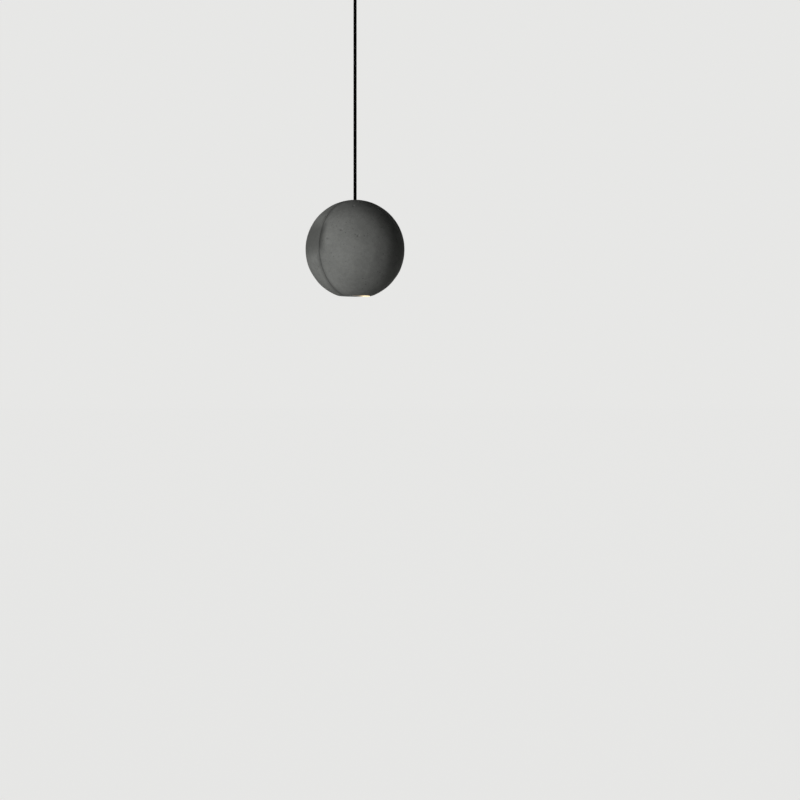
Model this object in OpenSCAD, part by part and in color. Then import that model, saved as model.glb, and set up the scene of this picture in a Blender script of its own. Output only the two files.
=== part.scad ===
// Concrete ball pendant: a two-part cast ball on a black cord, under a small ceiling canopy.
// Origin: centre of the ceiling face. Z is up, and the seam of the ball lies in the plane X = 0.

/* [Ball] */
// Diameter of the concrete ball
ball_d = 120; // [110:1:150]
// Thickness of the cast wall
wall = 9; // [8:0.5:10]
// Diameter of the flat under the ball
flat_d = 40; // [39:1:46]
// Thickness of the sealing ring between the two halves
seam_gap = 1; // [0.6:0.1:1.6]
// Width of the bevel along the seam on each half
seam_bevel = 1.6; // [1:0.1:3]
// Depth of the bevels along the seam
seam_depth = 1.2; // [1:0.1:3]
// Diameter of the pins that line up the halves
pin_d = 4; // [3:0.5:5]
// Length of the pins that line up the halves
pin_l = 16; // [10:1:20]

/* [Window] */
// Diameter of the half moon window in the flat
window_d = 36; // [34:1:37]
// Distance of the window's straight edge from the seam plane
window_edge = 10.5; // [9:0.5:11]
// Thickness of the concrete lip under the lens flange
lip_t = 4; // [3:0.5:5]
// Width of the ledge that the lens flange rests on
ledge_w = 2; // [1.5:0.1:3]
// How far the lens stands out of the flat
lens_proud = 0.6; // [0.2:0.1:1.5]
// Thickness of the lens flange
lens_flange_t = 1.5; // [1:0.1:2.5]

/* [Light engine] */
// Height of the white light well
well_h = 13; // [10:0.5:14]
// Wall of the white light well
well_wall = 1.2; // [0.8:0.1:2]
// Length of the light board, along the seam
board_l = 44; // [42:1:46]
// Thickness of the light board
board_t = 1.6; // [1:0.1:2.4]
// Number of light chips in a row
chip_count = 4; // [3:1:5]
// Side of a light chip
chip_w = 3; // [2:0.5:3.5]
// Height of the heat sink
sink_h = 26; // [24:1:32]
// Thickness of the heat sink's foot
sink_foot_t = 5; // [4:0.5:8]
// Depth of the heat sink's cooling slots
fin_depth = 6; // [3:0.5:7]
// Thickness of the steel carrier plate
plate_t = 2; // [1.5:0.1:3]

/* [Hanging gear] */
// Diameter of the round cord
cord_d = 4; // [3:0.1:4.4]
// Diameter of the threaded tie tube
tube_d = 10; // [9:0.5:12]
// Bore of the tie tube
tube_bore = 5; // [4.8:0.1:6]
// Width across the flats of the tube's nuts
nut_af = 14; // [13.5:0.5:15]
// Thickness of the tube's nuts
nut_t = 5; // [3:0.5:6]
// Diameter of the washer under the crown
washer_d = 24; // [18:1:28]
// Thickness of the washer under the crown
washer_t = 1.5; // [1:0.1:3]
// Diameter of the flush cap in the crown
cap_d = 15; // [14:0.5:18]
// Thickness of the flush cap in the crown
cap_t = 3; // [2:0.1:3.5]
// Diameter of the collar that grips the cord under the tube
collar_d = 13; // [11:0.5:14]
// Height of the collar that grips the cord under the tube
collar_h = 7; // [6:0.5:9]

/* [Canopy] */
// Diameter of the ceiling canopy
canopy_d = 100; // [96:1:130]
// Height of the ceiling canopy
canopy_h = 30; // [28:1:45]
// Thickness of the canopy's sheet
canopy_t = 1.2; // [0.8:0.1:2]
// Rounding of the canopy's lower edge
canopy_round = 3; // [2.5:0.5:6]
// Thickness of the ceiling plate
bracket_t = 2; // [1.5:0.1:3]
// Width of the ceiling plate's ears
ear_w = 20; // [12:1:24]
// Spacing of the two ceiling screw slots
slot_spacing = 60; // [54:1:64]
// Width of a ceiling screw slot
slot_w = 5; // [4:0.5:6]
// Length of a ceiling screw slot
slot_l = 12; // [8:1:14]

/* [Gland] */
// Diameter of the gland's flange
gland_d = 16; // [15.5:0.5:20]
// Thickness of the gland's flange
gland_flange_t = 3; // [2:0.5:5]
// Height of the gland's dome nut
dome_h = 17; // [16:0.5:24]
// Diameter of the dome nut's mouth, where the cord swings
mouth_d = 9.6; // [9.4:0.1:11]

/* [Supply] */
// Length of the driver case
driver_l = 48; // [40:1:52]
// Width of the driver case
driver_w = 24; // [18:1:26]
// Height of the driver case
driver_h = 16; // [14:0.5:20]
// Length of the terminal block
terminal_l = 36; // [34:1:40]
// Width of the terminal block
terminal_w = 16; // [12:1:20]
// Height of the terminal block
terminal_h = 12; // [10:0.5:16]

/* [Hidden] */
$fn = 96;

// Clearances: a sliding or threaded fit, a loose hole, and a moving gap between bodies
fit = 0.05;
loose = 0.2;
moving_gap = 0.3;
overcut = 1;

// Heights of the ceiling side, from the ceiling face down
canopy_r = canopy_d / 2;
canopy_floor = -canopy_h + canopy_t;
flange_z = -canopy_h - gland_flange_t;
exit_z = flange_z - dome_h;
mouth_h = 4.5;
pivot_h = 3;
pivot_z = exit_z + pivot_h;

// Route of the free cord: drops below the swing point, down to the crown cap
cord_drops = [2.5, 10, 20, 30, 40, 52, 64, 76, 88, 100, 112, 124, 136, 148, 160, 172, 184, 196, 208, 220,
    232, 243, 253];
cord_route = [for (drop = cord_drops) [0, 0, pivot_z - drop]];
cord_sides = 12;
cord_r = cord_d / 2;
cord_end_z = cord_route[len(cord_route) - 1].z;

// Heights in the ball, from the ball's centre
ball_r = ball_d / 2;
inner_r = ball_r - wall;
cap_top = sqrt(pow(ball_r, 2) - pow(cap_d / 2, 2));
cap_seat = cap_top - cap_t;
cap_lip = 1;
ball_z = cord_end_z - cap_top;
spot_depth = 0.5;
crown_seat = inner_r + spot_depth;
flat_z = -sqrt(pow(ball_r, 2) - pow(flat_d / 2, 2));
ledge_z = flat_z + lip_t;
flange_top = ledge_z + lens_flange_t;
board_z = flange_top + well_h;
sink_z = board_z + board_t;
plate_z = sink_z + sink_h;
tube_tail = 2;
tube_end = plate_z - nut_t - tube_tail;
tube_r = tube_d / 2;
collar_end = tube_end - collar_h;
lead_stub = 2;
inner_cord_end = collar_end - lead_stub;

// Plan of the light engine: it fills the window's half moon and stands clear of the tube's nuts
window_r = window_d / 2;
well_r = window_r + ledge_w - loose;
engine_edge = window_edge + loose;
engine_over = 1;
engine_far = window_r + ledge_w + engine_over;
engine_mid = (engine_edge + engine_far) / 2;
sink_near = nut_af / 2 / cos(30) + overcut;
sink_half = 14;
fin_count = 5;
fin_gap = 2;
fin_pitch = 2 * sink_half / (fin_count + 0.5);
sink_cap_t = 9;
board_tab = 3;

// Small screws: radius of the shank, radius and height of the head
m3 = [1.45, 2.75, 2];
m25 = [1.2, 2.2, 1.6];
m4 = [1.95, 4, 3];
sink_screw_l = 8;
sink_screw_inset = 3.5;
board_screw_l = 4;
board_screw_inset = 2.6;

// A screw along -Z, with the underside of its head on the plane Z = 0
module screw(size, length) {
    cylinder(r = size[1], h = size[2]);
    translate([0, 0, -length]) cylinder(r = size[0], h = length + size[2] / 2);
}

// A round hole along -Z that takes a screw's shank from the plane Z = 0 down
module screw_hole(size, length, gap) {
    translate([0, 0, -length]) cylinder(r = size[0] + gap, h = length + overcut);
}

// A hexagon nut standing on the plane Z = 0
module hex_nut(across, thick, bore_r) {
    difference() {
        cylinder(r = across / 2 / cos(30), h = thick, $fn = 6);
        translate([0, 0, -overcut]) cylinder(r = bore_r, h = thick + 2 * overcut);
    }
}

// A flat ring standing on the plane Z = 0
module ring(outer_r, bore_r, thick) {
    difference() {
        cylinder(r = outer_r, h = thick);
        translate([0, 0, -overcut]) cylinder(r = bore_r, h = thick + 2 * overcut);
    }
}

// A block from one corner to the opposite one
module block(low, high) {
    translate(low) cube(high - low);
}

// A half moon: a disc cut off along a straight edge
module half_moon(radius, edge) {
    intersection() {
        circle(r = radius);
        translate([edge, -radius]) square([radius, 2 * radius]);
    }
}

// A half moon prism between two heights
module half_moon_block(radius, edge, low, high) {
    translate([0, 0, low]) linear_extrude(height = high - low) half_moon(radius, edge);
}

// Things that hang with the ball are drawn about the ball's centre
module in_ball() {
    translate([0, 0, ball_z]) children();
}

// Ceiling plate: a steel strap on the ceiling with a wing on each side for the supply, and two ears
// turned down for the canopy's screws
ear_t = 2;
ear_h = 16;
ear_y = sqrt(pow(canopy_r - canopy_t, 2) - pow(ear_w / 2, 2)) - moving_gap;
ear_hole_edge = 6.4;
canopy_screw_z = ear_hole_edge - ear_h;
earth_at = [0, -17];
driver_near = 14;
driver_far = driver_near + driver_w;
driver_mid = (driver_near + driver_far) / 2;
driver_screw_inset = 4;
driver_screw_at = [for (side = [-1, 1]) [driver_mid, side * (driver_l / 2 - driver_screw_inset)]];
terminal_near = -14;
terminal_far = terminal_near - terminal_w;
terminal_mid = (terminal_near + terminal_far) / 2;
way_count = 3;
way_pitch = terminal_l / way_count;
terminal_screw_at = [terminal_mid, way_pitch / 2];
plate_screw_l = bracket_t - moving_gap;

module screw_slot() {
    run = slot_l - slot_w;
    square([slot_w, run], center = true);
    for (end = [-1, 1]) translate([0, end * run / 2]) circle(d = slot_w);
}

// Places on the underside of the ceiling plate, with Z turned down
module under_plate(at, drop = 0) {
    translate([at.x, at.y, -bracket_t - drop]) rotate([180, 0, 0]) children();
}

module ceiling_plate() color("silver") difference() {
    union() {
        block([-ear_w / 2, -ear_y, -bracket_t], [ear_w / 2, ear_y, 0]);
        block([0, -driver_l / 2, -bracket_t], [driver_far, driver_l / 2, 0]);
        block([terminal_far, -terminal_l / 2, -bracket_t], [0, terminal_l / 2, 0]);
        for (turn = [0, 180]) rotate([0, 0, turn])
            block([-ear_w / 2, ear_y - ear_t, -ear_h], [ear_w / 2, ear_y, 0]);
    }
    for (side = [-1, 1])
        translate([0, side * slot_spacing / 2, -bracket_t - overcut])
            linear_extrude(height = bracket_t + 2 * overcut) screw_slot();
    translate([0, 0, canopy_screw_z]) rotate([90, 0, 0])
        cylinder(r = m4[0] + fit, h = 2 * ear_y + overcut, center = true);
    under_plate(earth_at) screw_hole(m4, bracket_t + overcut, fit);
    for (at = concat(driver_screw_at, [terminal_screw_at]))
        under_plate(at) screw_hole(m3, bracket_t + overcut, fit);
}

module earth_screw() color("gold")
    under_plate(earth_at) screw(m4, plate_screw_l);

// Terminal block: a plastic block with three ways, hung from the ceiling plate by one screw
way_screw = [1.2, 1.7, 1.2];
way_screw_l = 6;
way_screw_at = [for (way = [0:way_count - 1], row = [-1, 1])
    [terminal_mid + row * terminal_w / 4, (way - (way_count - 1) / 2) * way_pitch]];

module terminal_block() color("white") difference() {
    block([terminal_far, -terminal_l / 2, -bracket_t - terminal_h],
        [terminal_near, terminal_l / 2, -bracket_t]);
    for (at = way_screw_at) under_plate(at, terminal_h) screw_hole(way_screw, way_screw_l, fit);
    under_plate(terminal_screw_at, terminal_h) screw_hole(m3, terminal_h + overcut, fit);
}

module terminal_screws() color("gold") {
    for (at = way_screw_at) under_plate(at, terminal_h) screw(way_screw, way_screw_l - loose);
    under_plate(terminal_screw_at, terminal_h) screw(m3, terminal_h + plate_screw_l);
}

// Driver: a closed plastic case under the ceiling plate, on two long screws
driver_low = -bracket_t - driver_h;

module driver_case() color("dimgray") difference() {
    block([driver_near, -driver_l / 2, driver_low], [driver_far, driver_l / 2, -bracket_t]);
    for (at = driver_screw_at) under_plate(at, driver_h) screw_hole(m3, driver_h + overcut, fit);
}

module driver_screws() color("silver")
    for (at = driver_screw_at) under_plate(at, driver_h) screw(m3, driver_h + plate_screw_l);

// Mains leads: two insulated wires from the terminal block to the driver
lead_d = 1.8;
lead_drop = 5;
lead_z = -bracket_t - lead_drop;
lead_insets = [5, 1.5];
lead_ys = [for (inset = lead_insets) min(driver_l, terminal_l) / 2 - inset];

module mains_leads() color("firebrick")
    for (y = lead_ys) translate([terminal_near, y, lead_z]) rotate([0, 90, 0])
        cylinder(d = lead_d, h = driver_near - terminal_near);

// Canopy: a spun steel cup that hides the wiring, held by two screws in the plate's ears
module cup_profile(radius, height, round) {
    square([radius - round, height]);
    translate([0, round]) square([radius, height - round]);
    translate([radius - round, round]) circle(r = round);
}

module canopy() color([0.05, 0.05, 0.05]) difference() {
    translate([0, 0, -canopy_h]) rotate_extrude() difference() {
        cup_profile(canopy_r, canopy_h, canopy_round);
        translate([0, canopy_t]) cup_profile(canopy_r - canopy_t, canopy_h, canopy_round - canopy_t);
    }
    translate([0, 0, -canopy_h - overcut]) cylinder(r = gland_shank_r + loose, h = canopy_t + 2 * overcut);
    translate([0, 0, canopy_screw_z]) rotate([90, 0, 0])
        cylinder(r = m4[0] + loose, h = canopy_d + overcut, center = true);
}

module canopy_screws() color([0.08, 0.08, 0.08])
    for (side = [0, 180]) rotate([0, 0, side]) translate([0, canopy_r, canopy_screw_z]) rotate([-90, 0, 0])
        screw(m4, canopy_r - ear_y + ear_t + overcut);

// Gland: a body through the canopy, a lock nut above, and a rubber sleeve squeezed by a dome nut below
gland_shank_r = 4.9;
gland_shank_h = 10;
gland_nut_t = 4;
barrel_r = 5.5;
barrel_h = 7;
sleeve_r = 3.9;
sleeve_seat = 4;
sleeve_top = flange_z - barrel_h + sleeve_seat;
sleeve_low = pivot_z + pivot_h;
dome_wall = 1.9;
dome_r = barrel_r + dome_wall;
rim_w = 1;
throat_r = cord_r + moving_gap + loose;

module gland_body() color([0.05, 0.05, 0.05]) difference() {
    union() {
        translate([0, 0, flange_z]) cylinder(d = gland_d, h = gland_flange_t);
        translate([0, 0, -canopy_h]) cylinder(r = gland_shank_r, h = gland_shank_h);
        translate([0, 0, flange_z - barrel_h]) cylinder(r = barrel_r, h = barrel_h);
    }
    translate([0, 0, flange_z - barrel_h - overcut])
        cylinder(r = cord_r + moving_gap, h = barrel_h + gland_flange_t + gland_shank_h + 2 * overcut);
    translate([0, 0, flange_z - barrel_h - overcut]) cylinder(r = sleeve_r + fit, h = sleeve_seat + overcut);
}

module gland_nut() color("silver")
    translate([0, 0, canopy_floor]) hex_nut(nut_af, gland_nut_t, gland_shank_r + fit);

module gland_sleeve() color("dimgray")
    translate([0, 0, sleeve_low]) ring(sleeve_r, cord_r + fit, sleeve_top - sleeve_low);

module gland_dome() color([0.05, 0.05, 0.05]) difference() {
    translate([0, 0, exit_z]) rotate_extrude() polygon([
        [0, 0], [mouth_d / 2 + rim_w, 0], [dome_r, mouth_h], [dome_r, dome_h], [0, dome_h]
    ]);
    translate([0, 0, flange_z - barrel_h - moving_gap])
        cylinder(r = barrel_r + fit, h = barrel_h + moving_gap + overcut);
    translate([0, 0, sleeve_low]) cylinder(r = sleeve_r + fit, h = flange_z - sleeve_low);
    translate([0, 0, exit_z]) cylinder(r = throat_r, h = dome_h);
    translate([0, 0, exit_z]) rotate_extrude() polygon([
        [0, -overcut], [mouth_d / 2, -overcut], [mouth_d / 2, 0], [throat_r, mouth_h], [0, mouth_h]
    ]);
}

// Cord above the swing point: up through the gland, then round a bend into the driver
bend_r = 8;
cord_turn_z = (driver_low - bracket_t) / 2 - bend_r;
tail_low = pivot_z + cord_r + moving_gap;

module canopy_cord() color([0.02, 0.02, 0.02]) {
    translate([0, 0, tail_low]) cylinder(r = cord_r, h = cord_turn_z - tail_low);
    translate([bend_r, 0, cord_turn_z]) rotate([90, 0, 0]) rotate([0, 0, 90])
        rotate_extrude(angle = 90) translate([bend_r, 0]) circle(r = cord_r);
    translate([bend_r, 0, cord_turn_z + bend_r]) rotate([0, 90, 0])
        cylinder(r = cord_r, h = driver_near - bend_r);
}

// Bending point of the cord in the gland's mouth
module cord_bend() color([0.02, 0.02, 0.02])
    translate([0, 0, pivot_z]) sphere(r = cord_r);

// Free cord: a tube of rings along the route, from the gland down to the crown
module pendant_cord() color([0.02, 0.02, 0.02]) {
    rings = len(cord_route);
    step = 360 / cord_sides;
    around = [for (side = [0:cord_sides - 1]) cord_r * [cos(step * side), sin(step * side), 0]];
    points = [for (middle = cord_route, spoke = around) middle + spoke];
    top = [for (side = [cord_sides - 1:-1:0]) side];
    bottom = [for (side = [0:cord_sides - 1]) (rings - 1) * cord_sides + side];
    upper = [for (level = [0:rings - 2], side = [0:cord_sides - 1])
        [level * cord_sides + side, level * cord_sides + (side + 1) % cord_sides,
            (level + 1) * cord_sides + (side + 1) % cord_sides]];
    lower = [for (level = [0:rings - 2], side = [0:cord_sides - 1])
        [level * cord_sides + side, (level + 1) * cord_sides + (side + 1) % cord_sides,
            (level + 1) * cord_sides + side]];
    polyhedron(points = points, faces = concat([top, bottom], upper, lower));
}

// Crown: a flush cap nut outside, a washer and a nut inside, clamping both halves on the tie tube
module crown_cap() color([0.05, 0.05, 0.05]) in_ball() difference() {
    translate([0, 0, cap_seat]) cylinder(d = cap_d, h = cap_t);
    translate([0, 0, cap_seat - overcut]) cylinder(r = tube_r + fit, h = cap_t - cap_lip + overcut);
    translate([0, 0, cap_seat]) cylinder(r = cord_r + loose, h = cap_t + overcut);
}

module crown_washer() color("silver") in_ball()
    translate([0, 0, crown_seat - washer_t]) ring(washer_d / 2, tube_r + loose, washer_t);

module crown_nut() color("silver") in_ball()
    translate([0, 0, crown_seat - washer_t - nut_t]) hex_nut(nut_af, nut_t, tube_r + fit);

module tie_tube() color("darkkhaki") in_ball()
    translate([0, 0, tube_end]) ring(tube_r, tube_bore / 2, cap_top - cap_lip - tube_end);

// Cord in the ball: down the tie tube and through the collar that carries the ball's weight
module inner_cord() color([0.02, 0.02, 0.02]) in_ball()
    translate([0, 0, inner_cord_end]) cylinder(r = cord_r, h = cap_top - inner_cord_end);

collar_screw_l = (collar_d - cord_d) / 2 - loose;

module cord_collar() color("goldenrod") in_ball() difference() {
    translate([0, 0, collar_end]) ring(collar_d / 2, cord_r + fit, collar_h);
    translate([0, 0, collar_end + collar_h / 2]) rotate([0, -90, 0]) cylinder(r = m3[0] + fit, h = collar_d);
}

module collar_screw() color("silver") in_ball()
    translate([-cord_r - loose, 0, collar_end + collar_h / 2]) rotate([0, -90, 0])
        cylinder(r = m3[0], h = collar_screw_l);

// Carrier plate: held between two nuts on the tie tube, with the heat sink screwed under it
module at_sink_screws(z) {
    for (side = [-1, 1]) translate([sink_near + sink_screw_inset, side * sink_half / 2, z]) children();
}

module carrier_plate() color("silver") in_ball() difference() {
    translate([0, 0, plate_z]) union() {
        cylinder(r = sink_half, h = plate_t);
        block([0, -sink_half, 0], [engine_far, sink_half, plate_t]);
    }
    translate([0, 0, plate_z - overcut]) cylinder(r = tube_r + loose, h = plate_t + 2 * overcut);
    at_sink_screws(plate_z + plate_t) screw_hole(m3, plate_t + overcut, loose);
}

module plate_nuts() color("silver") in_ball()
    for (low = [plate_z - nut_t, plate_z + plate_t])
        translate([0, 0, low]) hex_nut(nut_af, nut_t, tube_r + fit);

// Places of the screws through the light board's ends, with Z turned down
module at_board_screws(z) {
    for (side = [-1, 1]) translate([engine_mid, side * (board_l / 2 - board_screw_inset), z])
        rotate([180, 0, 0]) children();
}

// Heat sink: an aluminium foot over the light board and a slotted pillar up to the carrier plate
module heat_sink() color("lightgray") in_ball() difference() {
    union() {
        block([engine_edge, -board_l / 2, sink_z], [engine_far, board_l / 2, sink_z + sink_foot_t]);
        block([sink_near, -sink_half, sink_z], [engine_far, sink_half, plate_z]);
    }
    for (fin = [0:fin_count - 1]) {
        y = (fin - (fin_count - 1) / 2) * fin_pitch;
        block([engine_far - fin_depth, y - fin_gap / 2, sink_z + sink_foot_t],
            [engine_far + overcut, y + fin_gap / 2, plate_z - sink_cap_t]);
    }
    at_sink_screws(plate_z) screw_hole(m3, sink_screw_l, fit);
    at_board_screws(sink_z) screw_hole(m25, board_screw_l, fit);
}

module sink_screws() color("silver") in_ball()
    at_sink_screws(plate_z + plate_t) screw(m3, sink_screw_l + plate_t - loose);

// Light board: a thin metal board with a row of chips, screwed under the heat sink's foot
module light_board() color("white") in_ball() difference() {
    block([-board_tab, -board_l / 2, board_z], [engine_far, board_l / 2, sink_z]);
    at_board_screws(board_z) screw_hole(m25, board_t + overcut, loose);
}

module board_screws() color("silver") in_ball()
    at_board_screws(board_z) screw(m25, board_t + board_screw_l - loose);

chip_t = 0.8;
chip_x = (engine_edge + window_r) / 2;
chip_run = 2 * sqrt(pow(well_r - well_wall, 2) - pow(chip_x + chip_w / 2, 2));
chip_pitch = (chip_run - chip_w) / chip_count;

module light_chips() color("gold") in_ball()
    for (chip = [0:chip_count - 1]) {
        y = (chip - (chip_count - 1) / 2) * chip_pitch;
        block([chip_x - chip_w / 2, y - chip_w / 2, board_z - chip_t],
            [chip_x + chip_w / 2, y + chip_w / 2, board_z]);
    }

// Board leads: the cord's two cores, from its cut end down to the light board
core_d = 1.4;

module board_leads() color("firebrick") in_ball()
    for (side = [-1, 1]) translate([0, side * cord_r / 2, sink_z])
        cylinder(d = core_d, h = inner_cord_end - sink_z);

// Light well: a white half moon tube that presses the lens flange down on its ledge
module light_well() color("white") in_ball() difference() {
    half_moon_block(well_r, engine_edge, flange_top, board_z);
    half_moon_block(well_r - well_wall, engine_edge + well_wall, flange_top - overcut, board_z + overcut);
}

// Lens: a frosted half moon plug through the window, with a flange on its round side
module lens() color([1, 0.9, 0.7]) in_ball() {
    half_moon_block(window_r - loose, engine_edge, flat_z - lens_proud, flange_top);
    half_moon_block(well_r, engine_edge, ledge_z, flange_top);
}

// Halves of the ball: cast concrete shells that meet on the sealing ring
pin_circle_r = ball_r - wall / 2;
pin_angles = [45, 135, 225, 315];
spot_r = washer_d / 2 + overcut;
seal_set = 0.4;

// Places along the seam that the pins go through, drilled along X
module at_pins() {
    for (angle = pin_angles)
        rotate([angle, 0, 0]) translate([0, pin_circle_r, 0]) rotate([0, 90, 0]) children();
}

// What the crown of the ball leaves free for the cap, the tube and the washer
module crown_cut() {
    translate([0, 0, cap_seat]) cylinder(d = cap_d + 2 * loose, h = ball_r);
    cylinder(r = tube_r + loose, h = ball_r);
    cylinder(r = spot_r, h = crown_seat);
}

// Everything on the far side of the seam face, and the bevel along its edge
module seam_cut() {
    reach = ball_r + overcut;
    block([-reach, -reach, -reach], [seam_gap / 2, reach, reach]);
    rotate([0, 90, 0]) rotate_extrude() polygon([
        [ball_r - seam_depth, seam_gap / 2 - overcut], [ball_r - seam_depth, seam_gap / 2],
        [ball_r + seam_depth, seam_gap / 2 + 2 * seam_bevel], [ball_r + seam_depth, seam_gap / 2 - overcut]
    ]);
}

// One half of the ball, on the +X side
module half_shell() {
    difference() {
        sphere(r = ball_r);
        sphere(r = inner_r);
        seam_cut();
        crown_cut();
        block([-ball_r, -ball_r, -ball_r - overcut], [ball_r, ball_r, flat_z]);
        at_pins() cylinder(r = pin_d / 2 + fit, h = pin_l + overcut, center = true);
    }
}

module window_half() color("darkgray") in_ball() difference() {
    half_shell();
    half_moon_block(window_r, window_edge, flat_z - overcut, ledge_z + overcut);
    half_moon_block(window_r + ledge_w, window_edge, ledge_z, board_z);
}

module plain_half() color("gray") in_ball() rotate([0, 0, 180]) half_shell();

module seam_seal() color([0.12, 0.12, 0.12]) in_ball() difference() {
    rotate([0, 90, 0]) translate([0, 0, -seam_gap / 2])
        ring(ball_r - seam_depth - seal_set, inner_r, seam_gap);
    crown_cut();
    block([-ball_r, -ball_r, -ball_r], [ball_r, ball_r, flat_z + seal_set]);
    at_pins() cylinder(r = pin_d / 2 + loose, h = pin_l, center = true);
}

module seam_pins() color("silver") in_ball()
    at_pins() cylinder(d = pin_d, h = pin_l, center = true);

ceiling_plate();
earth_screw();
terminal_block();
terminal_screws();
driver_case();
driver_screws();
mains_leads();
canopy();
canopy_screws();
gland_body();
gland_nut();
gland_sleeve();
gland_dome();
canopy_cord();
cord_bend();
pendant_cord();
crown_cap();
crown_washer();
crown_nut();
tie_tube();
inner_cord();
cord_collar();
collar_screw();
carrier_plate();
plate_nuts();
heat_sink();
sink_screws();
light_board();
board_screws();
light_chips();
board_leads();
light_well();
lens();
window_half();
plain_half();
seam_seal();
seam_pins();
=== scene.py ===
# Concrete ball pendant: a two-part cast ball that hangs on a black cord under a small ceiling canopy.
# Metres, Z up. The origin is the centre of the ceiling face, and the ball's seam is the plane X = 0.
import math

import bmesh
import bpy
import numpy as np
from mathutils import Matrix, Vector


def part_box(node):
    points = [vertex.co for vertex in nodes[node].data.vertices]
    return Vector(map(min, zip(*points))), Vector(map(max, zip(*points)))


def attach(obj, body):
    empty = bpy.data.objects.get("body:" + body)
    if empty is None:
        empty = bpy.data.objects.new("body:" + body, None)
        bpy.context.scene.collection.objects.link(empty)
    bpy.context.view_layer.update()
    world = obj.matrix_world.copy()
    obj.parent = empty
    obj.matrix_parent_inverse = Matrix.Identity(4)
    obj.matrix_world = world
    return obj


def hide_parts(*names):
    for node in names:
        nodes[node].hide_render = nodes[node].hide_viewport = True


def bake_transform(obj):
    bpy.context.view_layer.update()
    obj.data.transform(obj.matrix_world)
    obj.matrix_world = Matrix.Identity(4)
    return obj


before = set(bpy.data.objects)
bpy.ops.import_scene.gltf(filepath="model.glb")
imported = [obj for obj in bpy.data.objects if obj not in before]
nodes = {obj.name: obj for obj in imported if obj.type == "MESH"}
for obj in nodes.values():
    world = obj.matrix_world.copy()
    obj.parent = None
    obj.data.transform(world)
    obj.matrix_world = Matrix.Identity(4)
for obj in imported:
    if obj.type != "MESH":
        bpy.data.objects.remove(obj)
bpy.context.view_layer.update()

# Camera: a long lens, level and a little below the ball, 45 degrees round from the front. The seam
# then shows on the ball's left, the flat is just seen from below, and the gland is just out of view.
mm = 0.001
ball_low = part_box("plain_half")[0]
ball_r = -ball_low.x
flat_r = 20 * mm
flat_depth = math.sqrt(ball_r ** 2 - flat_r ** 2)
ball_z = ball_low.z + flat_depth
view_turn = math.radians(45)
toward_camera = Vector((math.sin(view_turn), -math.cos(view_turn), 0))
image_right = Vector((math.cos(view_turn), math.sin(view_turn), 0))
camera_distance = 2.555
camera_aside = 0.0545
camera_below = 0.1826
camera_data = bpy.data.cameras.new("camera")
camera_data.lens = 94.8
camera = bpy.data.objects.new("camera", camera_data)
camera.location = Vector((0, 0, ball_z - camera_below))
camera.location += camera_distance * toward_camera + camera_aside * image_right
camera.rotation_euler = (math.pi / 2, 0, view_turn)
scene = bpy.context.scene
scene.collection.objects.link(camera)
scene.camera = camera
scene.view_settings.view_transform = "Standard"


# Studio: a pale floor far below, a pale sky that lights the object only weakly, a large soft lamp on the
# camera's left that leaves the ball's right side in shade, and a weaker one behind for its back.
def add_node(tree, kind, inputs=None, **settings):
    """Node of a kind, with its own settings, and its sockets by name or number: a value or a link."""
    node = tree.nodes.new("ShaderNode" + kind)
    for name, value in settings.items():
        setattr(node, name, value)
    for name, value in (inputs or {}).items():
        if isinstance(value, bpy.types.NodeSocket):
            tree.links.new(value, node.inputs[name])
        else:
            node.inputs[name].default_value = value
    return node


def calculate(tree, operation, first, second):
    """Sum, product, larger one or other simple result of two values."""
    return add_node(tree, "Math", {0: first, 1: second}, operation=operation).outputs[0]


def shown_rays(tree):
    """1 for what the camera, a mirror or a glass sees, and 0 for light that falls on things."""
    ray = add_node(tree, "LightPath").outputs
    seen = calculate(tree, "ADD", ray["Is Camera Ray"], ray["Is Glossy Ray"])
    return calculate(tree, "MAXIMUM", seen, ray["Is Transmission Ray"])


pale_tone = (0.80, 0.80, 0.79, 1)
sky_light = 0.055
studio = bpy.data.worlds.new("studio")
studio.use_nodes = True
scene.world = studio
sky = studio.node_tree
sky.nodes.clear()
dim = add_node(sky, "Background", {"Color": (1, 1, 1, 1), "Strength": sky_light})
pale = add_node(sky, "Background", {"Color": pale_tone, "Strength": 1.0})
sky_mix = add_node(sky, "MixShader", {0: shown_rays(sky), 1: dim.outputs[0], 2: pale.outputs[0]})
add_node(sky, "OutputWorld", {"Surface": sky_mix.outputs[0]})

floor_z = -2.0
floor_reach = 400.0
floor_glow = 0.9
floor_strength = 1.09
floor_sides = 64
corner = np.linspace(0, 2 * np.pi, floor_sides, endpoint=False)
floor_edge = np.stack([floor_reach * np.cos(corner), floor_reach * np.sin(corner),
                       np.full(floor_sides, floor_z)], -1)
floor_mesh = bpy.data.meshes.new("studio_floor")
floor_mesh.from_pydata(floor_edge.tolist(), [], [list(range(len(corner)))])
floor_paint = bpy.data.materials.new("studio_floor")
floor_paint.use_nodes = True
paint = floor_paint.node_tree
matt = paint.nodes["Principled BSDF"]
matt.inputs["Base Color"].default_value = pale_tone
matt.inputs["Roughness"].default_value = 0.9
shine = add_node(paint, "Emission", {"Color": pale_tone, "Strength": floor_strength})
share_shown = calculate(paint, "MULTIPLY", shown_rays(paint), floor_glow)
floor_mix = add_node(paint, "MixShader", {0: share_shown, 1: matt.outputs[0], 2: shine.outputs[0]})
paint.links.new(floor_mix.outputs[0], paint.nodes["Material Output"].inputs["Surface"])
floor_mesh.materials.append(floor_paint)
floor = bpy.data.objects.new("studio_floor", floor_mesh)
scene.collection.objects.link(floor)

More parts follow.
